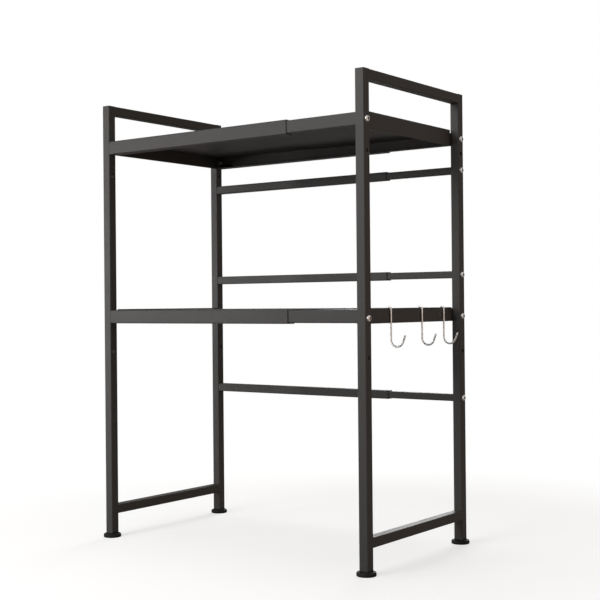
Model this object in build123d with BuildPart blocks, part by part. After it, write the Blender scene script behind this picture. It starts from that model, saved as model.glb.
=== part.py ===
"""Telescopic two-tier kitchen rack of square steel tube and folded sheet.

The rack stands on the floor or a worktop. Its two side frames are welded from square tube. Each of
its two shelves is an outer tray on the left frame that overlaps an inner tray on the right frame,
and three rear bars telescope in the same way, so the rack's width can be set.

Millimetres. +X is to the right, +Y to the back, +Z up. The origin is on the floor, midway between
the side frames and midway between front and back.
"""

import os
from math import ceil, cos, radians, sin

from build123d import *

os.makedirs("parts", exist_ok=True)

# Overall sizes, at the width that the rack is set to
rack_width = 595.0
rack_depth = 330.0
rack_height = 820.0

# Square tube of the side frames, and the smaller one of the outer rear bars
tube_side = 17.0
bar_side = 16.0
tube_wall = 1.2
tube_corner = 1.5

# Running gap between the telescoping pieces
slide_gap = 0.3

# Top faces of the two shelves: the upper one below the rack's top, the middle one above the floor
upper_shelf_drop = 68.5
middle_shelf_top = 431.3

# Centre lines of the rear bars, each from its nearest shelf's top
upper_bar_drop = 70.0
middle_bar_rise = 59.7
lower_bar_drop = 165.3

# Underside of the side frames' bottom rails
bottom_rail_underside = 44.0

# Folded sheet of the trays
sheet = 1.2
tray_height = 25.0
bend_radius = 2.0
outer_lip = 20.0
inner_lip = 15.0

# Where the outer trays and outer bars end on the right, and how far the inner ones reach in
outer_length = 420.5
inner_length = 300.0

# Low rim that stands on each tray's end, folded double, and its gap to the posts
rim_height = 2.0
upper_right_rim_height = 6.0
rim_end_gap = 1.0

# Button-head screws below each shelf's top, their holes, and the weld nuts that they enter
upper_screw_drop = 13.2
middle_screw_drop = 15.8
screw_radius = 3.0
screw_length = 25.0
head_radius = 5.25
head_height = 3.3
head_edge = 0.8
head_slope = 45.0
hole_radius = 3.25
nut_side = 10.0
nut_height = 5.0
thread_gap = 0.05

# Spare holes in the posts, below the upper shelf's top and below the middle shelf's top
front_spare_drop = 64.5
rear_spare_drop = 39.5
lower_spare_drop = 79.3

# Threaded plugs in the ends of the rear bars
outer_plug_length = 20.0
inner_plug_length = 16.0
plug_gap = 0.1

# Threaded inserts in the lower ends of the posts
insert_depth = 22.0
insert_flange = 1.5

# Levelling feet: round pad and threaded stud
pad_radius = 16.5
pad_height = 6.7
pad_top_round = 2.0
pad_bottom_chamfer = 0.8
pad_gap = 0.3
stud_radius = 4.0
stud_length = 30.0
stud_seat_height = 2.0

# Wire hooks that straddle the rim of the middle shelf's right end: two are placed from the rack's
# front and one from its back
wire_radius = 1.6
hook_gap = 0.3
hook_drop = 52.8
hook_bend_radius = 12.0
hook_tip_lean = 22.0
hook_tip_length = 13.2
front_hook_inset = 100.6
middle_hook_inset = 202.6
rear_hook_inset = 50.8

# Sides that stand for a circle on the small round pieces, the foot pads and the wire, and the
# angle between two straight steps round a bend of the wire
small_sides = 12
pad_sides = 24
wire_sides = 8
wire_bend_step = 20.0

# Planes and lengths that follow from the sizes above
post_centre_x = (rack_width - tube_side) / 2
post_centre_y = (rack_depth - tube_side) / 2
inner_face_x = rack_width / 2 - tube_side
outer_face_x = rack_width / 2
upper_shelf_top = rack_height - upper_shelf_drop
rail_length = rack_depth - 2 * tube_side
tube_bore = tube_side - 2 * tube_wall
insert_bottom = pad_height + pad_gap
post_bottom = insert_bottom + insert_flange
post_length = rack_height - post_bottom
top_rail_centre = rack_height - tube_side / 2
bottom_rail_centre = bottom_rail_underside + tube_side / 2
outer_end_x = outer_length - inner_face_x
inner_end_x = inner_face_x - inner_length
inner_tray_drop = sheet + slide_gap
bar_bore = bar_side - 2 * tube_wall
inner_bar_side = bar_bore - 2 * slide_gap
inner_bar_bore = inner_bar_side - 2 * tube_wall
rim_length = rail_length - 2 * rim_end_gap
hook_saddle_radius = sheet + hook_gap + wire_radius

sides = {"left": -1, "right": 1}
shelf_tops = {"upper": upper_shelf_top, "middle": middle_shelf_top}
bar_heights = {
    "upper": upper_shelf_top - upper_bar_drop,
    "middle": middle_shelf_top + middle_bar_rise,
    "lower": middle_shelf_top - lower_bar_drop,
}
shelf_screw_heights = {
    "upper": upper_shelf_top - upper_screw_drop,
    "middle": middle_shelf_top - middle_screw_drop,
}
right_rim_heights = {"upper": upper_right_rim_height, "middle": rim_height}
front_screw_heights = list(shelf_screw_heights.values())
rear_screw_heights = front_screw_heights + list(bar_heights.values())
lower_spare_height = middle_shelf_top - lower_spare_drop
front_spare_heights = [upper_shelf_top - front_spare_drop, lower_spare_height]
rear_spare_heights = [upper_shelf_top - rear_spare_drop, lower_spare_height]


def side_frame_post(label, x, y, screw_heights, spare_heights):
    """Upright tube with a closed top, drilled right through from side to side."""
    with BuildPart() as post:
        with BuildSketch(Plane.XY.offset(post_bottom)):
            with Locations((x, y)):
                RectangleRounded(tube_side, tube_side, tube_corner)
        extrude(amount=post_length)
        with BuildSketch(Plane.XY.offset(post_bottom)):
            with Locations((x, y)):
                Rectangle(tube_bore, tube_bore)
        extrude(amount=post_length - tube_wall, mode=Mode.SUBTRACT)
        with BuildSketch(Plane.YZ.offset(x)):
            with Locations(*[(y, height) for height in spare_heights]):
                Circle(hole_radius)
            with Locations(*[(y, height) for height in screw_heights]):
                RegularPolygon(hole_radius, small_sides)
        extrude(amount=tube_side, both=True, mode=Mode.SUBTRACT)
    post.part.label = label
    export_step(post.part, f"parts/{label}.step")


def side_frame_rail(label, x, centre_height):
    """Tube that runs from the front post to the rear post of one side frame."""
    with BuildPart() as rail:
        with BuildSketch(Plane.XZ):
            with Locations((x, centre_height)):
                RectangleRounded(tube_side, tube_side, tube_corner)
                Rectangle(tube_bore, tube_bore, mode=Mode.SUBTRACT)
        extrude(amount=rail_length / 2, both=True)
    rail.part.label = label
    export_step(rail.part, f"parts/{label}.step")


def tray(shelf, kind, side, free_end_x, drop, lip, rim):
    """Folded tray, open below, with return lips, an end flange and a low rim at its fixed end.

    The drop is how far the tray's top lies below the shelf's top, and its flanges as far inside.
    """
    label = f"{shelf}_{kind}_tray"
    top = shelf_tops[shelf] - drop
    depth = rack_depth - 2 * drop
    height = tray_height - 2 * drop
    centre = top - height / 2
    end_x = side * inner_face_x
    bottom = shelf_tops[shelf] - tray_height
    end_flange_height = top - bottom
    hem_x = side * (inner_face_x - sheet)
    hem_centre = top + rim - sheet
    screw_height = shelf_screw_heights[shelf]
    with BuildPart() as pan:
        # Top, front flange, rear flange and the lips that turn in under them
        with BuildSketch(Plane.YZ.offset(free_end_x)):
            with Locations((0, centre)):
                RectangleRounded(depth, height, bend_radius)
                RectangleRounded(depth - 2 * sheet, height - 2 * sheet, bend_radius - sheet, mode=Mode.SUBTRACT)
            with Locations((0, top - height)):
                Rectangle(depth - 2 * lip, 4 * sheet, mode=Mode.SUBTRACT)
        extrude(amount=end_x - free_end_x)
        # End flange that lies against the two posts, as tall as the outer trays are
        with BuildSketch(Plane.YZ.offset(end_x)):
            with Locations((0, bottom + end_flange_height / 2)):
                RectangleRounded(depth, end_flange_height, bend_radius)
        extrude(amount=-side * sheet)
        # Rim between the posts, folded double with a round top
        with BuildSketch(Plane.XZ):
            with Locations((hem_x, (top - sheet / 2 + hem_centre) / 2)):
                Rectangle(2 * sheet, hem_centre - top + sheet / 2)
            with Locations((hem_x, hem_centre)):
                Circle(sheet)
        extrude(amount=rim_length / 2, both=True)
        # Screw holes on the posts' centre lines
        with BuildSketch(Plane.YZ.offset(end_x)):
            with Locations((-post_centre_y, screw_height), (post_centre_y, screw_height)):
                RegularPolygon(hole_radius, small_sides)
        extrude(amount=2 * sheet, both=True, mode=Mode.SUBTRACT)
    pan.part.label = label
    export_step(pan.part, f"parts/{label}.step")


def rear_bar(label, from_x, to_x, height, side_length, bore):
    """Square tube that runs across the back of the rack."""
    with BuildPart() as bar:
        with BuildSketch(Plane.YZ.offset(from_x)):
            with Locations((post_centre_y, height)):
                RectangleRounded(side_length, side_length, tube_corner)
                Rectangle(bore, bore, mode=Mode.SUBTRACT)
        extrude(amount=to_x - from_x)
    bar.part.label = label
    export_step(bar.part, f"parts/{label}.step")


def bar_plugs(label, side, bore, length):
    """Threaded plugs in the fixed ends of one side's three rear bars."""
    with BuildPart() as plugs:
        with BuildSketch(Plane.YZ.offset(side * inner_face_x)):
            with Locations(*[(post_centre_y, height) for height in bar_heights.values()]):
                Rectangle(bore - 2 * plug_gap, bore - 2 * plug_gap)
                RegularPolygon(screw_radius + thread_gap, small_sides, mode=Mode.SUBTRACT)
        extrude(amount=-side * length)
    plugs.part.label = label
    export_step(plugs.part, f"parts/{label}.step")


def tray_nuts(label, side):
    """Square weld nuts on the inner face of one side's four screw holes in the trays."""
    with BuildPart() as nuts:
        with BuildSketch(Plane.YZ.offset(side * (inner_face_x - sheet))):
            with Locations(*[(y, z) for y in (-post_centre_y, post_centre_y) for z in front_screw_heights]):
                Rectangle(nut_side, nut_side)
                RegularPolygon(screw_radius + thread_gap, small_sides, mode=Mode.SUBTRACT)
        extrude(amount=-side * nut_height)
    nuts.part.label = label
    export_step(nuts.part, f"parts/{label}.step")


def screw_group(label, side, places):
    """Button-head screws whose heads lie on one side frame's outer face."""
    with BuildPart() as screws:
        with BuildSketch(Plane.YZ.offset(side * outer_face_x)):
            with Locations(*places):
                RegularPolygon(screw_radius, small_sides)
        extrude(amount=-side * screw_length)
        with BuildSketch(Plane.YZ.offset(side * outer_face_x)):
            with Locations(*places):
                RegularPolygon(head_radius, small_sides)
        extrude(amount=side * head_edge)
        with BuildSketch(Plane.YZ.offset(side * (outer_face_x + head_edge))):
            with Locations(*places):
                RegularPolygon(head_radius, small_sides)
        extrude(amount=side * (head_height - head_edge), taper=head_slope)
    screws.part.label = label
    export_step(screws.part, f"parts/{label}.step")


def post_inserts(label, side):
    """Threaded inserts in the lower ends of one side frame's two posts."""
    x = side * post_centre_x
    places = [(x, -post_centre_y), (x, post_centre_y)]
    with BuildPart() as inserts:
        with BuildSketch(Plane.XY.offset(insert_bottom)):
            with Locations(*places):
                Rectangle(tube_side, tube_side)
        extrude(amount=insert_flange)
        with BuildSketch(Plane.XY.offset(post_bottom)):
            with Locations(*places):
                Rectangle(tube_bore - 2 * plug_gap, tube_bore - 2 * plug_gap)
        extrude(amount=insert_depth)
        with BuildSketch(Plane.XY.offset(insert_bottom)):
            with Locations(*places):
                RegularPolygon(stud_radius + thread_gap, small_sides)
        extrude(amount=insert_flange + insert_depth, mode=Mode.SUBTRACT)
    inserts.part.label = label
    export_step(inserts.part, f"parts/{label}.step")


def foot(label, x, y):
    """Levelling foot: a round pad, and the threaded stud that is moulded into it."""
    with BuildPart() as pad:
        with BuildSketch(Plane.XY):
            with Locations((x, y)):
                RegularPolygon(pad_radius, pad_sides)
        extrude(amount=pad_height)
        chamfer(pad.faces().sort_by(Axis.Z)[-1].edges(), pad_top_round)
        chamfer(pad.faces().sort_by(Axis.Z)[0].edges(), pad_bottom_chamfer)
        with BuildSketch(Plane.XY.offset(stud_seat_height)):
            with Locations((x, y)):
                RegularPolygon(stud_radius, small_sides)
        extrude(amount=pad_height, mode=Mode.SUBTRACT)
    pad.part.label = f"{label}_pad"
    export_step(pad.part, f"parts/{label}_pad.step")

    with BuildPart() as stud:
        with BuildSketch(Plane.XY.offset(stud_seat_height)):
            with Locations((x, y)):
                RegularPolygon(stud_radius, small_sides)
        extrude(amount=stud_length)
    stud.part.label = f"{label}_stud"
    export_step(stud.part, f"parts/{label}_stud.step")


def bend_points(centre_x, centre_z, radius, start, end):
    """Points along a bend of the wire, from one angle to another in degrees, +X being 0 and +Z 90."""
    steps = ceil(abs(end - start) / wire_bend_step)
    angles = [radians(start + (end - start) * step / steps) for step in range(steps + 1)]
    return [(centre_x + radius * cos(angle), centre_z + radius * sin(angle)) for angle in angles]


def hook(label, y):
    """Wire hook: a saddle over the tray's rim, a straight shank and an open J that points outwards."""
    tray_surface = middle_shelf_top - inner_tray_drop
    saddle_x = inner_face_x - sheet
    saddle_z = tray_surface + rim_height - sheet
    shank_x = saddle_x + hook_saddle_radius
    leg_x = saddle_x - hook_saddle_radius
    saddle = bend_points(saddle_x, saddle_z, hook_saddle_radius, 180, 0)
    bend_x = shank_x + hook_bend_radius
    bend = bend_points(bend_x, middle_shelf_top - hook_drop, hook_bend_radius, 180, 360 - hook_tip_lean)
    lean = radians(hook_tip_lean)
    tip = (bend[-1][0] + hook_tip_length * sin(lean), bend[-1][1] + hook_tip_length * cos(lean))
    with BuildPart() as wire:
        with BuildLine(Plane.XZ.offset(-y)) as path:
            Polyline((leg_x, tray_surface + hook_gap), *saddle, *bend, tip)
        with BuildSketch(Plane.XY.offset(tray_surface + hook_gap)):
            with Locations((leg_x, y)):
                RegularPolygon(wire_radius, wire_sides)
        sweep(path=path.wires()[0], transition=Transition.RIGHT)
    wire.part.label = label
    export_step(wire.part, f"parts/{label}.step")


# The two side frames, with what each of them carries
for side_name, side in sides.items():
    x = side * post_centre_x
    side_frame_post(f"{side_name}_front_post", x, -post_centre_y, front_screw_heights, front_spare_heights)
    side_frame_post(f"{side_name}_rear_post", x, post_centre_y, rear_screw_heights, rear_spare_heights)
    side_frame_rail(f"{side_name}_top_rail", x, top_rail_centre)
    side_frame_rail(f"{side_name}_bottom_rail", x, bottom_rail_centre)
    post_inserts(f"{side_name}_post_inserts", side)
    tray_nuts(f"{side_name}_tray_nuts", side)
    shelf_places = [(y, z) for y in (-post_centre_y, post_centre_y) for z in front_screw_heights]
    screw_group(f"{side_name}_shelf_screws", side, shelf_places)
    screw_group(f"{side_name}_bar_screws", side, [(post_centre_y, z) for z in bar_heights.values()])
    foot(f"{side_name}_front_foot", x, -post_centre_y)
    foot(f"{side_name}_rear_foot", x, post_centre_y)

# The shelves: outer trays on the left frame, inner trays on the right frame
for shelf_name in shelf_tops:
    tray(shelf_name, "outer", -1, outer_end_x, 0, outer_lip, rim_height)
    tray(shelf_name, "inner", 1, inner_end_x, inner_tray_drop, inner_lip, right_rim_heights[shelf_name])

# The rear bars: outer tubes on the left frame, inner tubes on the right frame
for bar_name, height in bar_heights.items():
    rear_bar(f"{bar_name}_outer_bar", -inner_face_x, outer_end_x, height, bar_side, bar_bore)
    rear_bar(f"{bar_name}_inner_bar", inner_end_x, inner_face_x, height, inner_bar_side, inner_bar_bore)
bar_plugs("outer_bar_plugs", -1, bar_bore, outer_plug_length)
bar_plugs("inner_bar_plugs", 1, inner_bar_bore, inner_plug_length)

# The hooks on the right end of the middle shelf
hook("front_hook", front_hook_inset - rack_depth / 2)
hook("middle_hook", middle_hook_inset - rack_depth / 2)
hook("rear_hook", rack_depth / 2 - rear_hook_inset)
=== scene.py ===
"""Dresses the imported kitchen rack: painted steel, plated screws, bright wire hooks and moulded feet.

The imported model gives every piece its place. This script finishes the painted tubes and trays as
they are, and models the small round pieces afresh: screws with their sockets and threads, weld
nuts, levelling feet, wire hooks and weld beads. Sizes are in millimetres until a mesh is made; the
floor, the lamps and the camera are in metres.
"""

import logging
import math
from dataclasses import dataclass
from enum import Enum
from typing import Any, Callable

import bmesh
import bpy
from mathutils import Matrix, Vector

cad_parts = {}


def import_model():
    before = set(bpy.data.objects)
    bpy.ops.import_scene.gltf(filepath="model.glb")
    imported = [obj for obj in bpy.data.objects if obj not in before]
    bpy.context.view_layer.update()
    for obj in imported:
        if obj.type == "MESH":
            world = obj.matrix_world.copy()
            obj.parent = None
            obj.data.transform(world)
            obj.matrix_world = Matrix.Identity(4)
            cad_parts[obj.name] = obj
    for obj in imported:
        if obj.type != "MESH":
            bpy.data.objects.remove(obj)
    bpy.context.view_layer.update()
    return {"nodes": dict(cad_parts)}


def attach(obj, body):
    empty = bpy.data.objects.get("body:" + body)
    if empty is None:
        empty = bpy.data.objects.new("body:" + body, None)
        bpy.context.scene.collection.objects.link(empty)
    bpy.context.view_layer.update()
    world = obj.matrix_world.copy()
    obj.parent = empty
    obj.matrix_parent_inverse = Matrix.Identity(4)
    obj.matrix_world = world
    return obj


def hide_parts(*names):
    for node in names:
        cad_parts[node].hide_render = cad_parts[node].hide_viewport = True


LOG = logging.getLogger("rack")
MM = 0.001
AXIS_X = Vector((1.0, 0.0, 0.0))
AXIS_Y = Vector((0.0, 1.0, 0.0))
AXIS_Z = Vector((0.0, 0.0, 1.0))

Colour = tuple[float, float, float]
Triple = tuple[float, float, float]
Span = tuple[float, float]
Socket = bpy.types.NodeSocket

WHITE: Colour = (1.0, 1.0, 1.0)


class Sign(Enum):
    """A choice between two members, whose value is the sign of a coordinate."""

    @property
    def word(self) -> str:
        """The member's name as the nodes spell it."""
        return self.name.lower()


class Side(Sign):
    """One of the rack's two side frames; the value is the sign of its X."""

    LEFT = -1
    RIGHT = 1

    @property
    def body(self) -> str:
        """The body that this side's fixed pieces belong to."""
        return f"{self.word}_frame"


class End(Sign):
    """Front or rear of the rack; the value is the sign of its Y."""

    FRONT = -1
    REAR = 1


class Slot(Enum):
    """Material slots of the record."""

    PAINT = "powder_coat"
    SCREW = "screw_steel"
    PLATED = "plated_steel"
    WIRE = "bright_wire"
    FOOT = "foot_plastic"
    INSERT = "insert_plastic"


# Materials


class NodeGraph:
    """A node graph that starts empty, with the kinds of node that finishes, floor and world share."""

    def __init__(self, owner: bpy.types.Material | bpy.types.World, output: str) -> None:
        """Empties the owner's graph and gives it an output.

        Args:
            owner: The material or world.
            output: Kind of its output node.
        """
        owner.use_nodes = True
        self.tree = owner.node_tree
        self.tree.nodes.clear()
        self.output = self.add(output)

    def add(self, kind: str, **values: Any) -> bpy.types.Node:
        """Adds a node and sets constants on its own sockets.

        Args:
            kind: Kind of the node.
            values: Constants by socket, an underscore standing for a space.

        Returns:
            The node.
        """
        node = self.tree.nodes.new(kind)
        for key, value in values.items():
            node.inputs[key.replace("_", " ")].default_value = value
        return node

    def link(self, value: Socket, node: bpy.types.Node, key: str | int) -> None:
        """Links a value to a node's socket."""
        self.tree.links.new(value, node.inputs[key])

    def remap(self, value: Socket, span: Span, result: Span, smooth: bool = False) -> Socket:
        """Maps one span of values to another, and holds what lies outside at its ends.

        Args:
            value: The value.
            span: Where the value starts and stops to count.
            result: What those two become.
            smooth: Whether the change eases in and out.

        Returns:
            The value socket.
        """
        node = self.add(
            "ShaderNodeMapRange", From_Min=span[0], From_Max=span[1], To_Min=result[0], To_Max=result[1]
        )
        node.interpolation_type = "SMOOTHSTEP" if smooth else "LINEAR"
        self.link(value, node, "Value")
        return node.outputs["Result"]

    def blend(self, share: Socket, first: Colour, second: Colour) -> Socket:
        """Mixes two colours by a share.

        Args:
            share: 0 for the first, 1 for the second.
            first: Linear colour.
            second: Linear colour.

        Returns:
            The colour socket.
        """
        node = self.add("ShaderNodeMix")
        node.data_type = "RGBA"
        node.inputs["A"].default_value = (*first, 1.0)
        node.inputs["B"].default_value = (*second, 1.0)
        self.link(share, node, "Factor")
        return node.outputs["Result"]

    def mix(self, share: Socket, first: Socket, second: Socket) -> Socket:
        """Mixes two shaders by a share.

        Args:
            share: 0 for the first, 1 for the second.
            first: Shader.
            second: Shader.

        Returns:
            The shader socket.
        """
        node = self.add("ShaderNodeMixShader")
        for key, source in enumerate((share, first, second)):
            self.link(source, node, key)
        return node.outputs["Shader"]


class Surface(NodeGraph):
    """A piece's material: one surface shader, fed by noise that is read at Object coordinates."""

    noise_span: Span = (0.3, 0.7)

    def __init__(self, name: str, **values: Any) -> None:
        """Starts a material with its surface shader.

        Args:
            name: The material's name.
            values: Constants of the shader by socket, an underscore standing for a space.
        """
        self.material = bpy.data.materials.new(name)
        super().__init__(self.material, "ShaderNodeOutputMaterial")
        self.shader = self.add("ShaderNodeBsdfPrincipled", **values)
        self.link(self.shader.outputs["BSDF"], self.output, "Surface")
        self.coords = self.add("ShaderNodeTexCoord").outputs["Object"]

    def feed(self, value: Socket, key: str) -> None:
        """Links a value to a socket of the surface shader."""
        self.link(value, self.shader, key)

    def stretched(self, scale: Triple) -> Socket:
        """Object coordinates, scaled apart along each axis.

        Args:
            scale: Factor for X, Y and Z.

        Returns:
            The vector socket.
        """
        mapping = self.add("ShaderNodeMapping", Scale=scale)
        self.link(self.coords, mapping, "Vector")
        return mapping.outputs["Vector"]

    def noise(self, grain: float, detail: float = 2.0, coords: Socket | None = None) -> Socket:
        """Noise whose features are about as wide as the grain.

        Args:
            grain: Size of a feature, in millimetres.
            detail: How many finer layers are added.
            coords: Where to read it, Object coordinates unless given.

        Returns:
            The value socket, near 0.5 on average.
        """
        node = self.add("ShaderNodeTexNoise", Scale=1.0 / (grain * MM), Detail=detail)
        self.link(coords or self.coords, node, "Vector")
        return node.outputs["Fac"]

    def spread(self, value: Socket, low: float, high: float) -> Socket:
        """Maps the middle of a noise's range, where nearly all of it lies, to low and high."""
        return self.remap(value, self.noise_span, (low, high))

    def bump(self, height: Socket, depth: float, strength: float, under: Socket | None = None) -> Socket:
        """Turns a height into a bumped normal.

        Args:
            height: The height, 0 to 1.
            depth: What a height of 1 stands for, in millimetres.
            strength: Share of the effect, up to 1.
            under: A normal that this one is laid over.

        Returns:
            The normal socket.
        """
        node = self.add("ShaderNodeBump", Strength=strength, Distance=depth * MM)
        self.link(height, node, "Height")
        if under is not None:
            self.link(under, node, "Normal")
        return node.outputs["Normal"]


@dataclass(frozen=True)
class PowderCoat:
    """Satin black powder coat with its fine orange peel; grains and depths are in millimetres."""

    name: str = "satin_black_powder_coat"
    deep: Colour = (0.0515, 0.0485, 0.0462)
    pale: Colour = (0.0545, 0.0513, 0.0489)
    roughness: Span = (0.42, 0.46)
    cloud_grain: float = 70.0
    sheen_grain: float = 55.0
    peel_grain: float = 1.6
    peel_depth: float = 0.08
    grit_grain: float = 0.35
    grit_depth: float = 0.012

    def material(self) -> bpy.types.Material:
        """Builds the material.

        Returns:
            The material.
        """
        coat = Surface(self.name, Metallic=0.0, IOR=1.45, Specular_IOR_Level=0.30)
        cloud = coat.spread(coat.noise(self.cloud_grain, detail=3.0), 0.0, 1.0)
        coat.feed(coat.blend(cloud, self.deep, self.pale), "Base Color")
        coat.feed(coat.spread(coat.noise(self.sheen_grain), *self.roughness), "Roughness")
        peel = coat.bump(coat.noise(self.peel_grain, detail=1.0), self.peel_depth, strength=0.7)
        grit = coat.bump(coat.noise(self.grit_grain), self.grit_depth, strength=0.5, under=peel)
        coat.feed(grit, "Normal")
        return coat.material


@dataclass(frozen=True)
class Plating:
    """Metal plating on small steel pieces, with a faint grain; its size and depth are in millimetres."""

    name: str
    dark: Colour
    bright: Colour
    roughness: Span
    grain: float = 1.1
    grain_scale: Triple = (1.0, 1.0, 1.0)
    grain_depth: float = 0.0015
    grains_per_cloud: float = 5.0

    def material(self) -> bpy.types.Material:
        """Builds the material.

        Returns:
            The material.
        """
        plate = Surface(self.name, Metallic=1.0)
        cloud = plate.spread(plate.noise(self.grain * self.grains_per_cloud, detail=3.0), 0.0, 1.0)
        plate.feed(plate.blend(cloud, self.dark, self.bright), "Base Color")
        fine = plate.noise(self.grain, detail=3.0, coords=plate.stretched(self.grain_scale))
        plate.feed(plate.spread(fine, *self.roughness), "Roughness")
        plate.feed(plate.bump(fine, self.grain_depth, strength=0.6), "Normal")
        return plate.material


@dataclass(frozen=True)
class MouldedPlastic:
    """Matt black plastic with a fine spark-eroded grain; grains and depths are in millimetres."""

    name: str
    deep: Colour = (0.012, 0.012, 0.012)
    pale: Colour = (0.020, 0.020, 0.020)
    roughness: Span = (0.55, 0.70)
    cloud_grain: float = 9.0
    sheen_grain: float = 4.0
    grain: float = 0.28
    grain_depth: float = 0.02

    def material(self) -> bpy.types.Material:
        """Builds the material.

        Returns:
            The material.
        """
        plastic = Surface(self.name, Metallic=0.0, IOR=1.46, Specular_IOR_Level=0.2)
        cloud = plastic.spread(plastic.noise(self.cloud_grain, detail=3.0), 0.0, 1.0)
        plastic.feed(plastic.blend(cloud, self.deep, self.pale), "Base Color")
        sheen = plastic.noise(self.sheen_grain, detail=3.0)
        plastic.feed(plastic.spread(sheen, *self.roughness), "Roughness")
        plastic.feed(plastic.bump(plastic.noise(self.grain), self.grain_depth, strength=0.6), "Normal")
        return plastic.material


class Finishes:
    """The rack's finishes, one for each material slot of the record."""

    def __init__(self) -> None:
        """Makes one material for each slot."""
        bright_zinc = Plating(
            "bright_zinc_plate",
            dark=(0.88, 0.865, 0.855),
            bright=(0.95, 0.935, 0.925),
            roughness=(0.44, 0.56),
        )
        dull_zinc = Plating(
            "dull_zinc_plate",
            dark=(0.40, 0.40, 0.41),
            bright=(0.55, 0.55, 0.56),
            roughness=(0.34, 0.52),
        )
        polished_wire = Plating(
            "polished_wire_plate",
            dark=(0.77, 0.765, 0.75),
            bright=(0.85, 0.845, 0.83),
            roughness=(0.34, 0.44),
            grain=1.2,
            grain_scale=(1.0, 1.0, 0.2),
            grain_depth=0.0002,
        )
        insert_plastic = MouldedPlastic(
            "moulded_insert_plastic", deep=(0.011, 0.011, 0.011), pale=(0.018, 0.018, 0.018)
        )
        self.by_slot: dict[Slot, bpy.types.Material] = {
            Slot.PAINT: PowderCoat().material(),
            Slot.SCREW: bright_zinc.material(),
            Slot.PLATED: dull_zinc.material(),
            Slot.WIRE: polished_wire.material(),
            Slot.FOOT: MouldedPlastic("moulded_foot_plastic").material(),
            Slot.INSERT: insert_plastic.material(),
        }

    def dress(self, piece: bpy.types.Object, slot: Slot) -> None:
        """Gives a piece the finish of one slot, in place of what it has."""
        piece.data.materials.clear()
        piece.data.materials.append(self.by_slot[slot])


# Mesh tools

# Points closer than this, in millimetres, are one point
MERGE_GAP = 1e-4
# Edges that turn by fewer degrees are shaded smooth, unless a piece says otherwise
SMOOTH_BELOW = 30.0
# Steps in one turn of a thread
THREAD_STEPS = 24
# Width of a thread's ridge at its foot, as a share of the pitch
RIDGE_SHARE = 0.88
# Width of the ridge's flat crest, as a share of its foot
CREST_SHARE = 0.2


def edges_in(geom: list[Any]) -> list[bmesh.types.BMEdge]:
    """The edges among what an operator made."""
    return [item for item in geom if isinstance(item, bmesh.types.BMEdge)]


def verts_in(geom: list[Any]) -> list[bmesh.types.BMVert]:
    """The points among what an operator made."""
    return [item for item in geom if isinstance(item, bmesh.types.BMVert)]


def edges_at(verts: list[bmesh.types.BMVert]) -> list[bmesh.types.BMEdge]:
    """All edges that meet these points, each once."""
    return list({edge for vert in verts for edge in vert.link_edges})


def outline(*points: Span) -> list[Vector]:
    """Points of a profile in the plane of X and Z, each given by these two."""
    return [Vector((x, 0.0, z)) for x, z in points]


def arc(centre: Vector, radius: float, start: float, end: float, steps: int) -> list[Vector]:
    """Points on an arc in the plane of X and Z, for a profile.

    Args:
        centre: The arc's centre.
        radius: The arc's radius.
        start: First angle, in degrees from X towards Z.
        end: Last angle.
        steps: Number of steps.

    Returns:
        The points, both ends included.
    """
    angles = [math.radians(start + (end - start) * step / steps) for step in range(steps + 1)]
    return [
        centre + AXIS_X * (radius * math.cos(angle)) + AXIS_Z * (radius * math.sin(angle))
        for angle in angles
    ]


def revolve(bm: bmesh.types.BMesh, profile: list[Vector], axis: Vector, steps: int) -> None:
    """Spins an open line of points all the way round an axis through the origin.

    Args:
        bm: The mesh that gets the shape, in millimetres.
        profile: Points of the line, its ends on the axis or on the edges of an opening.
        axis: The axis.
        steps: Number of sides.
    """
    verts = [bm.verts.new(point) for point in profile]
    edges = [bm.edges.new(pair) for pair in zip(verts, verts[1:])]
    bmesh.ops.spin(
        bm, geom=verts + edges, cent=Vector(), axis=axis, angle=math.tau, steps=steps, use_merge=True
    )
    bmesh.ops.remove_doubles(bm, verts=bm.verts, dist=MERGE_GAP)


def polygon(
    bm: bmesh.types.BMesh, corners: int, points: int, radius: float, at: Matrix
) -> list[bmesh.types.BMEdge]:
    """Adds the outline of a regular polygon, cut so finely that a round outline can be joined to it.

    Args:
        bm: The mesh that gets the outline.
        corners: Number of corners.
        points: Number of points all round, a multiple of the corners.
        radius: Distance of the corners from the middle.
        at: Where it goes.

    Returns:
        The outline's edges.
    """
    verts = bmesh.ops.create_circle(bm, cap_ends=False, segments=corners, radius=radius, matrix=at)["verts"]
    split = bmesh.ops.subdivide_edges(bm, edges=edges_at(verts), cuts=points // corners - 1)
    return edges_in(split["geom"])


def thread(
    bm: bmesh.types.BMesh,
    start: Vector,
    axis: Vector,
    root: float,
    crest: float,
    pitch: float,
    length: float,
) -> None:
    """Winds one thread ridge round an axis, as a closed body with capped ends.

    Args:
        bm: The mesh that gets the ridge.
        start: Point on the axis where the thread starts.
        axis: Unit direction in which it advances.
        root: Radius that its foot is sunk to.
        crest: Its other radius, where it has a narrow flat.
        pitch: Advance in one turn.
        length: Length of the threaded run, of which the ridge's own width takes one turn.
    """
    turns = length / pitch - 1.0
    steps = int(turns * THREAD_STEPS)
    side = axis.orthogonal().normalized()
    foot = pitch * RIDGE_SHARE
    corners = (
        start + side * root,
        start + side * crest + axis * (foot * (1.0 - CREST_SHARE) / 2),
        start + side * crest + axis * (foot * (1.0 + CREST_SHARE) / 2),
        start + side * root + axis * foot,
    )
    section = bm.faces.new([bm.verts.new(corner) for corner in corners])
    last = bmesh.ops.spin(
        bm,
        geom=list(section.edges),
        cent=start,
        axis=axis,
        dvec=axis * (pitch * turns / steps),
        angle=math.tau * turns,
        steps=steps,
    )["geom_last"]
    bmesh.ops.contextual_create(bm, geom=edges_in(last))


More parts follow.
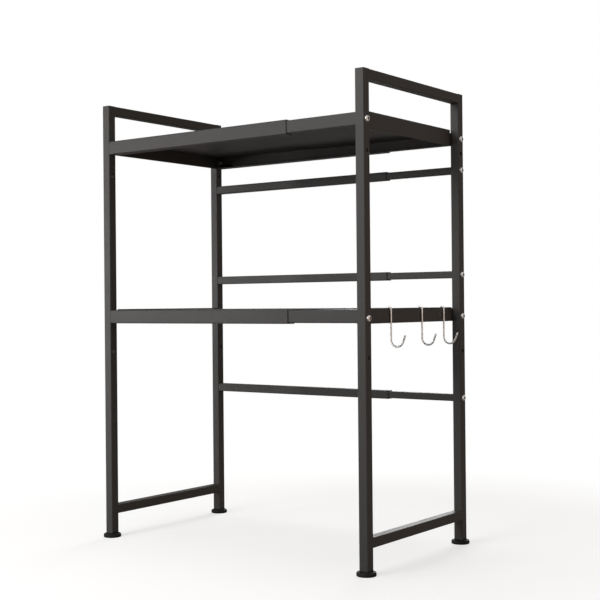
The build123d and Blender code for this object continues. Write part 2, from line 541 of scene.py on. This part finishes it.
def finish_mesh(bm: bmesh.types.BMesh, name: str, smooth_below: float = SMOOTH_BELOW) -> bpy.types.Object:
    """Makes a mesh object of a finished bmesh, its faces outwards and its round faces smooth.

    Args:
        bm: The mesh, in metres and in its place in the rack. It is freed.
        name: The object's name.
        smooth_below: Edges that turn by less than this many degrees are shaded smooth.

    Returns:
        The object, at the origin.
    """
    bmesh.ops.remove_doubles(bm, verts=bm.verts, dist=MERGE_GAP * MM)
    bmesh.ops.recalc_face_normals(bm, faces=bm.faces)
    for face in bm.faces:
        face.smooth = True
    limit = math.radians(smooth_below)
    for edge in bm.edges:
        if len(edge.link_faces) == 2:
            edge.smooth = edge.calc_face_angle(0.0) < limit
    mesh = bpy.data.meshes.new(name)
    bm.to_mesh(mesh)
    bm.free()
    piece = bpy.data.objects.new(name, mesh)
    bpy.context.scene.collection.objects.link(piece)
    return piece


def place(
    build: Callable[[bmesh.types.BMesh], None],
    spots: list[Matrix],
    name: str,
    smooth_below: float = SMOOTH_BELOW,
) -> bpy.types.Object:
    """Repeats one small shape at several places, as one object.

    Args:
        build: Adds the shape, at the origin and in millimetres, to the mesh that it is given.
        spots: Where each copy goes, in millimetres.
        name: The object's name.
        smooth_below: Edges that turn by less than this many degrees are shaded smooth.

    Returns:
        The object, at the origin.
    """
    bm = bmesh.new()
    for spot in spots:
        one = bmesh.new()
        build(one)
        bmesh.ops.transform(one, matrix=Matrix.Scale(MM, 4) @ spot, verts=one.verts)
        copy = bpy.data.meshes.new("copy")
        one.to_mesh(copy)
        one.free()
        bm.from_mesh(copy)
        bpy.data.meshes.remove(copy)
    return finish_mesh(bm, name, smooth_below)


def facing(side: Side, x: float, y: float, z: float) -> Matrix:
    """Puts a shape whose +Z is outwards on one of a side frame's upright faces.

    Args:
        side: The side frame.
        x: Distance of the face from the middle of the rack.
        y: Place along the depth.
        z: Height.

    Returns:
        The placing matrix, in millimetres.
    """
    turn = Matrix.Rotation(math.radians(90.0 * side.value), 4, "Y")
    return Matrix.Translation((side.value * x, y, z)) @ turn


# Sizes that the rack's pieces share


@dataclass(frozen=True)
class RackSizes:
    """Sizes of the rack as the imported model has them, in millimetres."""

    width: float = 595.0
    depth: float = 330.0
    height: float = 820.0
    tube: float = 17.0
    tube_corner: float = 1.5
    bottom_rail_underside: float = 44.0
    sheet: float = 1.2
    upper_shelf: float = 751.5
    middle_shelf: float = 431.3
    upper_screw_drop: float = 13.2
    middle_screw_drop: float = 15.8
    bars: Triple = (681.5, 491.0, 266.0)

    @property
    def face_x(self) -> float:
        """Distance of the side frames' outer faces from the middle."""
        return self.width / 2

    @property
    def inner_x(self) -> float:
        """Distance of the side frames' inner faces from the middle."""
        return self.width / 2 - self.tube

    @property
    def post_x(self) -> float:
        """Distance of the posts' centre lines from the middle of the width."""
        return (self.width - self.tube) / 2

    @property
    def post_y(self) -> float:
        """Distance of the posts' centre lines from the middle of the depth."""
        return (self.depth - self.tube) / 2

    @property
    def shelf_screws(self) -> list[Span]:
        """Places of one side's shelf screws, as depth and height."""
        heights = (self.upper_shelf - self.upper_screw_drop, self.middle_shelf - self.middle_screw_drop)
        return [(end.value * self.post_y, height) for end in End for height in heights]

    @property
    def bar_screws(self) -> list[Span]:
        """Places of one side's bar screws, as depth and height."""
        return [(self.post_y, height) for height in self.bars]


# Sub-assemblies


@dataclass
class PackedPieces:
    """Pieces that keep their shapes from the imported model, picked by how their names end."""

    finishes: Finishes
    slot: Slot
    endings: tuple[str, ...]

    def build(self, nodes: dict[str, bpy.types.Object]) -> None:
        """Dresses every node of this kind.

        Args:
            nodes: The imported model's nodes by name.
        """
        for name, node in nodes.items():
            if name.endswith(self.endings):
                self.finishes.dress(node, self.slot)
                LOG.info("%s: %s", name, self.slot.value)


@dataclass
class PaintedSteel(PackedPieces):
    """The powder-coated tubes and trays."""

    slot: Slot = Slot.PAINT
    endings: tuple[str, ...] = ("_post", "_rail", "_tray", "_bar")


@dataclass
class HiddenPlastic(PackedPieces):
    """Inserts in the posts and plugs in the bars."""

    slot: Slot = Slot.INSERT
    endings: tuple[str, ...] = ("_inserts", "_plugs")


@dataclass
class ButtonScrews:
    """Button-head screws with a hexagon socket and a thread."""

    finishes: Finishes
    sizes: RackSizes
    head_radius: float = 5.25
    head_height: float = 3.3
    head_edge: float = 0.8
    edge_break: float = 0.18
    crown_radius: float = 2.85
    dome_steps: int = 8
    socket_corners: int = 6
    socket_width: float = 4.0
    socket_depth: float = 2.0
    socket_chamfer: float = 0.22
    socket_cone: float = 0.9
    length: float = 25.0
    shank_root: float = 2.55
    tip_chamfer: float = 0.9
    thread_radius: float = 2.98
    thread_sunk: float = 0.15
    thread_start: float = 0.5
    thread_length: float = 13.75
    pitch: float = 1.0
    sides: int = 36

    def shape(self, bm: bmesh.types.BMesh) -> None:
        """Models one screw at the origin, its head above z = 0 and its shank below.

        Args:
            bm: The mesh that gets the screw, in millimetres.
        """
        revolve(bm, self.profile(), AXIS_Z, self.sides)
        self.socket(bm)
        tip = AXIS_Z * (self.thread_start - self.length)
        root = self.shank_root - self.thread_sunk
        thread(bm, tip, AXIS_Z, root, self.thread_radius, self.pitch, self.thread_length)

    def profile(self) -> list[Vector]:
        """Works out the turned shape, from the crown's edge over the dome and down to the tip.

        Returns:
            The profile's points.
        """
        rise = self.head_height - self.head_edge
        run = self.head_radius - self.crown_radius
        dome = (run * run + rise * rise) / (2 * run)
        hub = Vector((self.head_radius - dome, 0.0, self.head_edge))
        top = math.degrees(math.asin(rise / dome))
        return arc(hub, dome, top, 0.0, self.dome_steps) + outline(
            (self.head_radius, self.edge_break),
            (self.head_radius - self.edge_break, 0.0),
            (self.shank_root, 0.0),
            (self.shank_root, self.tip_chamfer - self.length),
            (self.shank_root - self.tip_chamfer, -self.length),
            (0.0, -self.length),
        )

    def socket(self, bm: bmesh.types.BMesh) -> None:
        """Closes the open crown with a chamfered hexagon socket and its conical floor.

        Args:
            bm: The mesh that holds the turned screw, in millimetres.
        """
        radius = self.socket_width / math.sqrt(3)
        rim = [edge for edge in bm.edges if edge.is_boundary]
        mouth = self.hexagon(bm, radius + self.socket_chamfer, self.head_height)
        bmesh.ops.bridge_loops(bm, edges=rim + mouth)
        lip = self.hexagon(bm, radius, self.head_height - self.socket_chamfer)
        bmesh.ops.bridge_loops(bm, edges=mouth + lip)
        wall = bmesh.ops.extrude_edge_only(bm, edges=lip)["geom"]
        down = AXIS_Z * (self.socket_chamfer - self.socket_depth)
        bmesh.ops.translate(bm, verts=verts_in(wall), vec=down)
        floor = bmesh.ops.extrude_edge_only(bm, edges=edges_in(wall))["geom"]
        bottom = AXIS_Z * (self.head_height - self.socket_depth - self.socket_cone)
        bmesh.ops.pointmerge(bm, verts=verts_in(floor), merge_co=bottom)

    def hexagon(self, bm: bmesh.types.BMesh, radius: float, height: float) -> list[bmesh.types.BMEdge]:
        """Adds the socket's outline at one height, with as many points as the head has sides."""
        return polygon(bm, self.socket_corners, self.sides, radius, Matrix.Translation(AXIS_Z * height))

    def build(self) -> None:
        """Models and places each side's shelf screws and bar screws."""
        for side in Side:
            for kind, places in (("shelf", self.sizes.shelf_screws), ("bar", self.sizes.bar_screws)):
                node = f"{side.word}_{kind}_screws"
                spots = [facing(side, self.sizes.face_x, y, z) for y, z in places]
                piece = place(self.shape, spots, f"{node}_threaded")
                self.finishes.dress(piece, Slot.SCREW)
                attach(piece, side.body)
                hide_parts(node)
                LOG.info("%s: %d screws", piece.name, len(spots))


@dataclass
class WeldNuts:
    """Square nuts welded behind the trays' end flanges."""

    finishes: Finishes
    sizes: RackSizes
    width: float = 10.0
    inset: float = 0.01
    height: float = 5.0
    bore: float = 3.04
    corners: int = 4
    corner_round: float = 0.7
    corner_steps: int = 3
    thread_rise: float = 0.02
    thread_sunk: float = 0.2
    thread_margin: float = 0.3
    pitch: float = 1.0
    sides: int = 32

    @property
    def corner_radius(self) -> float:
        """Distance of the unrounded corners from the nut's axis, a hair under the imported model's."""
        return self.width / math.sqrt(2) - self.inset

    def shape(self, bm: bmesh.types.BMesh) -> None:
        """Models one nut at the origin, its welded face at z = 0 and its free face below.

        Args:
            bm: The mesh that gets the nut, in millimetres.
        """
        level = Matrix.Rotation(math.pi / self.corners, 4, "Z")
        square = polygon(bm, self.corners, self.sides, self.corner_radius, level)
        bore = bmesh.ops.create_circle(bm, cap_ends=False, segments=self.sides, radius=self.bore)["verts"]
        bmesh.ops.bridge_loops(bm, edges=square + edges_at(bore))
        block = bmesh.ops.extrude_face_region(bm, geom=list(bm.faces), use_keep_orig=True)["geom"]
        bmesh.ops.translate(bm, verts=verts_in(block), vec=AXIS_Z * -self.height)
        bmesh.ops.bevel(
            bm,
            geom=[edge for edge in bm.edges if self.is_corner(edge)],
            offset=self.corner_round,
            affect="EDGES",
            segments=self.corner_steps,
            profile=0.5,
            material=-1,
        )
        start = AXIS_Z * (self.thread_margin - self.height)
        run = self.height - 2 * self.thread_margin
        root = self.bore + self.thread_sunk
        thread(bm, start, AXIS_Z, root, self.bore - self.thread_rise, self.pitch, run)

    def is_corner(self, edge: bmesh.types.BMEdge) -> bool:
        """Tells whether an edge is one of the nut's four upright corners.

        Args:
            edge: Any edge of the nut.

        Returns:
            True for a corner.
        """
        first, second = (vert.co for vert in edge.verts)
        upright = abs(first.z - second.z) > self.height / 2
        return upright and abs(math.hypot(first.x, first.y) - self.corner_radius) < MERGE_GAP

    def build(self) -> None:
        """Models and places each side's four nuts."""
        for side in Side:
            node = f"{side.word}_tray_nuts"
            face = self.sizes.inner_x - self.sizes.sheet
            spots = [facing(side, face, y, z) for y, z in self.sizes.shelf_screws]
            piece = place(self.shape, spots, f"{node}_square")
            self.finishes.dress(piece, Slot.PLATED)
            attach(piece, side.body)
            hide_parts(node)
            LOG.info("%s: %d nuts", piece.name, len(spots))


@dataclass
class LevellingFeet:
    """Round moulded pads on threaded studs, one under each post.

    A pad stands on a rim round its hollow base. Above the rim are a chamfer, the skirt and a round
    edge, and in the top is a well, with a low boss round the stud's hole.
    """

    finishes: Finishes
    sizes: RackSizes
    pad_radius: float = 16.49
    pad_height: float = 6.7
    pad_round: float = 2.2
    pad_round_steps: int = 7
    pad_sides: int = 72
    base_chamfer: float = 0.8
    base_rim: float = 2.2
    base_slope: float = 0.4
    base_hollow: float = 0.35
    skirt_height: float = 1.9
    skirt_step: float = 0.12
    skirt_slope: float = 0.1
    well_radius: float = 7.2
    well_depth: float = 0.35
    well_slope: float = 0.3
    boss_radius: float = 4.7
    boss_drop: float = 0.05
    hole_radius: float = 4.0
    hole_flare: float = 0.05
    stud_radius: float = 3.98
    stud_root: float = 3.4
    stud_foot: float = 2.0
    stud_length: float = 30.0
    stud_chamfer: float = 0.9
    stud_sides: int = 32
    thread_sunk: float = 0.15
    thread_start: float = 0.4
    pitch: float = 1.25

    def pad(self, bm: bmesh.types.BMesh) -> None:
        """Models one pad at the origin, standing on z = 0, with a well round its stud.

        Args:
            bm: The mesh that gets the pad, in millimetres.
        """
        base = self.pad_radius - self.base_chamfer
        side = self.pad_radius - self.skirt_step
        top = self.pad_height
        profile = outline(
            (0.0, self.base_hollow),
            (base - self.base_rim - self.base_slope, self.base_hollow),
            (base - self.base_rim, 0.0),
            (base, 0.0),
            (self.pad_radius, self.base_chamfer),
            (self.pad_radius, self.skirt_height),
            (side, self.skirt_height + self.skirt_slope),
        )
        hub = Vector((side - self.pad_round, 0.0, top - self.pad_round))
        profile += arc(hub, self.pad_round, 0.0, 90.0, self.pad_round_steps)
        profile += outline(
            (self.well_radius, top),
            (self.well_radius - self.well_slope, top - self.well_depth),
            (self.boss_radius + self.well_slope, top - self.well_depth),
            (self.boss_radius, top - self.boss_drop),
            (self.hole_radius + self.hole_flare, top - self.boss_drop),
            (self.hole_radius, self.stud_foot),
            (0.0, self.stud_foot),
        )
        revolve(bm, profile, AXIS_Z, self.pad_sides)

    def stud(self, bm: bmesh.types.BMesh) -> None:
        """Models one stud at the origin, its lower end as high as it is set in the pad.

        Args:
            bm: The mesh that gets the stud, in millimetres.
        """
        top = self.stud_foot + self.stud_length
        profile = outline(
            (0.0, self.stud_foot),
            (self.stud_root, self.stud_foot),
            (self.stud_root, top - self.stud_chamfer),
            (self.stud_root - self.stud_chamfer, top),
            (0.0, top),
        )
        revolve(bm, profile, AXIS_Z, self.stud_sides)
        start = AXIS_Z * (self.stud_foot + self.thread_start)
        root = self.stud_root - self.thread_sunk
        run = self.stud_length - self.stud_chamfer
        thread(bm, start, AXIS_Z, root, self.stud_radius, self.pitch, run)

    def build(self) -> None:
        """Models and places the four feet."""
        for side in Side:
            for end in End:
                foot = f"{side.word}_{end.word}_foot"
                x, y = side.value * self.sizes.post_x, end.value * self.sizes.post_y
                spot = Matrix.Translation((x, y, 0.0))
                pad = place(self.pad, [spot], f"{foot}_round_pad", smooth_below=40.0)
                stud = place(self.stud, [spot], f"{foot}_threaded_stud")
                for piece, node, slot in ((pad, "pad", Slot.FOOT), (stud, "stud", Slot.PLATED)):
                    self.finishes.dress(piece, slot)
                    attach(piece, foot)
                    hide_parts(f"{foot}_{node}")
                    LOG.info("%s: placed", piece.name)


class WireRun:
    """A round wire that grows from one end, by straight runs and bends.

    Both ends are rounded. Shares are of the wire's radius: the flat at an end, how far its round
    reaches and the least step between two rings. The rings of a round are given by their angles
    on it, 90 degrees being the full wire.
    """

    flat_share: float = 0.35
    round_share: float = 0.45
    least_share: float = 0.05
    opening: Triple = (40.0, 60.0, 90.0)
    closing: Triple = (60.0, 40.0, 20.5)

    def __init__(
        self, bm: bmesh.types.BMesh, start: Vector, heading: Vector, radius: float, sides: int
    ) -> None:
        """Starts the wire with a rounded end.

        Args:
            bm: The mesh that gets the wire.
            start: Middle of the wire's end.
            heading: Unit direction in which it sets out.
            radius: The wire's radius.
            sides: Number of sides.
        """
        self.bm = bm
        self.radius = radius
        self.centre = start.copy()
        self.heading = heading.normalized()
        self.width = self.flat_share
        turn = AXIS_Z.rotation_difference(heading).to_matrix().to_4x4()
        ring = bmesh.ops.create_circle(
            bm,
            cap_ends=True,
            segments=sides,
            radius=radius * self.flat_share,
            matrix=Matrix.Translation(start) @ turn,
        )["verts"]
        self.ring = edges_at(ring)
        for angle in self.opening:
            self.grow_ring(angle)

    def verts(self) -> list[bmesh.types.BMVert]:
        """The points of the wire's open end."""
        return list({vert for edge in self.ring for vert in edge.verts})

    def advance(self, shift: Vector) -> None:
        """Extrudes the open end.

        Args:
            shift: How far it moves.
        """
        self.ring = edges_in(bmesh.ops.extrude_edge_only(self.bm, edges=self.ring)["geom"])
        bmesh.ops.translate(self.bm, verts=self.verts(), vec=shift)
        self.centre += shift

    def grow_ring(self, angle: float) -> None:
        """Adds one ring of a rounded end.

        Args:
            angle: The ring's place on the round, in degrees.
        """
        width = math.sin(math.radians(angle))
        fall = abs(math.cos(math.radians(angle)) - math.sqrt(1 - self.width**2))
        step = self.radius * self.round_share * fall
        self.advance(self.heading * max(step, self.radius * self.least_share))
        scale = Vector((width / self.width,) * 3)
        bmesh.ops.scale(self.bm, vec=scale, space=Matrix.Translation(-self.centre), verts=self.verts())
        self.width = width

    def straight(self, length: float) -> None:
        """Adds a straight run of a length."""
        self.advance(self.heading * length)

    def bend(self, centre: Vector, axis: Vector, degrees: float, steps: int) -> None:
        """Adds a bend.

        Args:
            centre: Centre of the bend.
            axis: Axis that it turns about, by the right-hand rule.
            degrees: Angle of the bend.
            steps: Number of rings along it.
        """
        angle = math.radians(degrees)
        last = bmesh.ops.spin(
            self.bm, geom=self.ring, cent=centre, axis=axis, angle=angle, steps=steps, use_merge=False
        )["geom_last"]
        self.ring = edges_in(last)
        turn = Matrix.Rotation(angle, 3, axis)
        self.centre = centre + turn @ (self.centre - centre)
        self.heading = turn @ self.heading

    def close(self) -> None:
        """Rounds off the open end and closes it."""
        for angle in self.closing:
            self.grow_ring(angle)
        bmesh.ops.contextual_create(self.bm, geom=self.ring)


@dataclass
class WireHooks:
    """Bright wire hooks that straddle the rim of the middle shelf's right end."""

    finishes: Finishes
    sizes: RackSizes
    radius: float = 1.6
    sides: int = 28
    leg_end: float = 430.1
    saddle_radius: float = 3.1
    saddle_height: float = 430.6
    saddle_steps: int = 20
    shank_end: float = 378.5
    bend_radius: float = 12.0
    bend_steps: int = 30
    tip_lean: float = 22.0
    tip_length: float = 13.2
    places: tuple[tuple[str, float], ...] = (("front", -64.4), ("middle", 37.6), ("rear", 114.2))

    def shape(self, bm: bmesh.types.BMesh) -> None:
        """Models one hook in its place across the rim, at y = 0.

        Args:
            bm: The mesh that gets the hook, in millimetres.
        """
        saddle_x = self.sizes.inner_x - self.sizes.sheet
        shank_x = saddle_x + self.saddle_radius
        start = Vector((saddle_x - self.saddle_radius, 0.0, self.leg_end))
        saddle = Vector((saddle_x, 0.0, self.saddle_height))
        bowl = Vector((shank_x + self.bend_radius, 0.0, self.shank_end))
        wire = WireRun(bm, start, AXIS_Z, self.radius, self.sides)
        wire.straight(self.saddle_height - wire.centre.z)
        wire.bend(saddle, AXIS_Y, 180.0, self.saddle_steps)
        wire.straight(self.saddle_height - self.shank_end)
        wire.bend(bowl, -AXIS_Y, 180.0 - self.tip_lean, self.bend_steps)
        wire.straight(self.tip_length - self.radius * wire.round_share)
        wire.close()

    def build(self) -> None:
        """Models and places the hooks."""
        for word, y in self.places:
            node = f"{word}_hook"
            spot = Matrix.Translation((0.0, y, 0.0))
            piece = place(self.shape, [spot], f"{node}_round_wire", smooth_below=60.0)
            self.finishes.dress(piece, Slot.WIRE)
            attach(piece, node)
            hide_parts(node)
            LOG.info("%s: placed", piece.name)


@dataclass
class FrameWelds:
    """Welds between the side frames' posts and rails: flush outside, a small bead in the corner.

    A bead loses the share end_fall of its radius at its ends, the more suddenly the higher end_power
    is, and each of its ripples sinks by the share ripple_depth.
    """

    finishes: Finishes
    sizes: RackSizes
    inset: float = 0.03
    cover: float = 1.2
    corner_steps: int = 5
    bead_radius: float = 1.7
    bead_length: float = 12.6
    bead_sides: int = 20
    end_fall: float = 0.55
    end_power: int = 6
    ripples: int = 9
    ripple_steps: int = 4
    ripple_depth: float = 0.07

    def flush_fill(self, bm: bmesh.types.BMesh) -> None:
        """Models what fills the groove between a rail's end and a post's round corner.

        Args:
            bm: The mesh that gets the fill, in millimetres, its middle on the joint's plane.
        """
        corner = self.sizes.tube_corner
        side = self.sizes.tube - 2 * self.inset
        length = self.cover + corner
        verts = bmesh.ops.create_cube(bm, size=1.0)["verts"]
        bmesh.ops.scale(bm, vec=Vector((side, length, side)), verts=verts)
        bmesh.ops.translate(bm, verts=verts, vec=AXIS_Y * (corner - length / 2))
        bmesh.ops.bevel(
            bm,
            geom=[edge for edge in bm.edges if abs(edge.verts[0].co.y - edge.verts[1].co.y) > length / 2],
            offset=corner,
            affect="EDGES",
            segments=self.corner_steps,
            profile=0.5,
            material=-1,
        )

    def bead(self, bm: bmesh.types.BMesh) -> None:
        """Models one rippled bead along X, its middle at the origin.

        Args:
            bm: The mesh that gets the bead, in millimetres.
        """
        steps = self.ripples * self.ripple_steps
        half = self.bead_length / 2
        points = [(-half, 0.0)]
        for step in range(steps + 1):
            share = step / steps
            swell = 1.0 - self.end_fall * abs(2 * share - 1) ** self.end_power
            ripple = 1.0 - self.ripple_depth * (share * self.ripples % 1.0)
            points.append(((share - 0.5) * self.bead_length, self.bead_radius * swell * ripple))
        points.append((half, 0.0))
        revolve(bm, outline(*points), AXIS_X, self.bead_sides)

    def build(self) -> None:
        """Models and places the welds of both side frames."""
        half = self.sizes.tube / 2
        top = self.sizes.height - half
        bottom = self.sizes.bottom_rail_underside + half
        for side in Side:
            fills, beads = [], []
            for end in End:
                x, y = side.value * self.sizes.post_x, end.value * (self.sizes.post_y - half)
                turn = Matrix.Scale(end.value, 4, AXIS_Y)
                for height, corners in ((top, (-half,)), (bottom, (half, -half))):
                    fills.append(Matrix.Translation((x, y, height)) @ turn)
                    beads += [Matrix.Translation((x, y, height + corner)) for corner in corners]
            for spots, shape, word in ((fills, self.flush_fill, "fills"), (beads, self.bead, "beads")):
                piece = place(shape, spots, f"{side.word}_weld_{word}", smooth_below=50.0)
                self.finishes.dress(piece, Slot.PAINT)
                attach(piece, side.body)
                LOG.info("%s: %d placed", piece.name, len(spots))


# Floor, light and camera


@dataclass(frozen=True)
class Lamp:
    """One soft oblong lamp that points at the rack; places and sizes are in metres, power in watts."""

    name: str
    at: Triple
    power: float
    size: Span
    colour: Colour = WHITE
    aim: Triple = (0.0, 0.0, 0.42)

    def build(self) -> None:
        """Adds the lamp."""
        data = bpy.data.lights.new(self.name, "AREA")
        data.shape = "RECTANGLE"
        data.size, data.size_y = self.size
        data.energy = self.power
        data.color = self.colour
        lamp = bpy.data.objects.new(self.name, data)
        bpy.context.scene.collection.objects.link(lamp)
        lamp.location = self.at
        heading = Vector(self.aim) - Vector(self.at)
        lamp.rotation_euler = heading.to_track_quat("-Z", "Y").to_euler()


@dataclass
class Studio:
    """A plain pale floor, soft lamps and the camera, which stands where the photograph's stood.

    Lengths are in metres and angles in degrees. The floor shows the camera a paler tone than it gives
    back to the rack, mixed with a white glow. Over the two distances of floor_fade, the glow's share
    rises and its strength falls to plain white.
    """

    focal_pixels: float = 1178.581
    image_pixels: float = 600.0
    sensor: float = 36.0
    clip: Span = (0.05, 50.0)
    eye: Triple = (1.33846, -1.74922, 0.43968)
    yaw: float = 36.4856
    pitch: float = 0.1987
    roll: float = -0.5178
    white: float = 1.0
    ambient: float = 0.08
    ambient_tint: Colour = (1.0, 0.985, 0.97)
    mirrored: float = 0.27
    mirrored_tint: Colour = (1.0, 0.99, 0.98)
    floor_reach: float = 12.0
    floor_lit: Colour = (0.34, 0.32, 0.305)
    floor_seen: Colour = (0.80, 0.79, 0.78)
    floor_glow: float = 1.36
    floor_fade: Span = (0.5, 1.5)
    glow_share: Span = (0.46, 1.0)
    lamps: tuple[Lamp, ...] = (
        Lamp("front_lamp", at=(-0.3, -1.9, 1.5), power=29.0, size=(1.2, 1.2)),
        Lamp("left_lamp", at=(-2.0, -1.9, 0.42), power=26.0, size=(0.8, 1.5)),
        Lamp("top_lamp", at=(-0.3, 0.2, 3.2), power=26.0, size=(1.6, 1.6)),
        Lamp("rear_lamp", at=(-1.0, 3.0, 1.6), power=42.0, size=(1.6, 1.6)),
        Lamp("right_card", at=(2.8, -0.3, 1.0), power=6.6, size=(1.2, 1.2), colour=(1.0, 0.79, 0.64)),
        Lamp("right_rear_card", at=(2.6, 0.9, 0.7), power=7.4, size=(1.2, 1.2), colour=(1.0, 0.72, 0.54)),
        Lamp("camera_card", at=(2.2, -3.0, 1.0), power=2.4, size=(0.5, 0.5)),
    )

    def camera(self) -> None:
        """Places the camera."""
        data = bpy.data.cameras.new("camera")
        data.sensor_width = self.sensor
        data.lens = data.sensor_width * self.focal_pixels / self.image_pixels
        data.clip_start, data.clip_end = self.clip
        camera = bpy.data.objects.new("camera", data)
        bpy.context.scene.collection.objects.link(camera)
        yaw = Matrix.Rotation(math.radians(self.yaw), 4, "Z")
        pitch = Matrix.Rotation(math.radians(90.0 + self.pitch), 4, "X")
        roll = Matrix.Rotation(math.radians(self.roll), 4, "Z")
        camera.matrix_world = Matrix.Translation(self.eye) @ yaw @ pitch @ roll
        bpy.context.scene.camera = camera

    def floor(self) -> None:
        """Lays the floor, which shows white and still takes the rack's shadow."""
        bm = bmesh.new()
        bmesh.ops.create_grid(bm, x_segments=2, y_segments=2, size=self.floor_reach)
        floor = finish_mesh(bm, "floor")
        material = bpy.data.materials.new("pale_floor")
        graph = NodeGraph(material, "ShaderNodeOutputMaterial")
        seen = graph.add("ShaderNodeLightPath").outputs["Is Camera Ray"]
        matt = graph.add("ShaderNodeBsdfDiffuse")
        graph.link(graph.blend(seen, self.floor_lit, self.floor_seen), matt, "Color")
        distance = graph.add("ShaderNodeVectorMath")
        distance.operation = "LENGTH"
        graph.link(graph.add("ShaderNodeTexCoord").outputs["Object"], distance, 0)
        reach = distance.outputs["Value"]
        glow = graph.add("ShaderNodeEmission", Color=(*WHITE, 1.0))
        strength = graph.remap(reach, self.floor_fade, (self.floor_glow, self.white), smooth=True)
        graph.link(strength, glow, "Strength")
        share = graph.add("ShaderNodeMath")
        share.operation = "MULTIPLY"
        graph.link(seen, share, 0)
        graph.link(graph.remap(reach, self.floor_fade, self.glow_share, smooth=True), share, 1)
        surface = graph.mix(share.outputs["Value"], matt.outputs["BSDF"], glow.outputs["Emission"])
        graph.link(surface, graph.output, "Surface")
        floor.data.materials.append(material)

    def world(self) -> None:
        """Sets a dim world that is brighter in reflections and white to the camera."""
        world = bpy.data.worlds.new("studio")
        bpy.context.scene.world = world
        graph = NodeGraph(world, "ShaderNodeOutputWorld")
        skies = (
            (self.ambient_tint, self.ambient),
            (self.mirrored_tint, self.mirrored),
            (WHITE, self.white),
        )
        dim, soft, bright = (
            graph.add("ShaderNodeBackground", Color=(*tint, 1.0), Strength=level).outputs["Background"]
            for tint, level in skies
        )
        rays = graph.add("ShaderNodeLightPath").outputs
        unseen = graph.mix(rays["Is Glossy Ray"], dim, soft)
        graph.link(graph.mix(rays["Is Camera Ray"], unseen, bright), graph.output, "Surface")

    def build(self) -> None:
        """Sets the camera, the floor, the world and the lamps."""
        bpy.context.scene.view_settings.view_transform = "Standard"
        self.camera()
        self.floor()
        self.world()
        for lamp in self.lamps:
            lamp.build()


def main() -> None:
    """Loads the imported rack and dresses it."""
    logging.basicConfig(level=logging.INFO, format="%(message)s")
    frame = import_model()
    finishes = Finishes()
    sizes = RackSizes()
    PaintedSteel(finishes).build(frame["nodes"])
    HiddenPlastic(finishes).build(frame["nodes"])
    FrameWelds(finishes, sizes).build()
    ButtonScrews(finishes, sizes).build()
    WeldNuts(finishes, sizes).build()
    LevellingFeet(finishes, sizes).build()
    WireHooks(finishes, sizes).build()
    Studio().build()


if __name__ == "__main__":
    main()
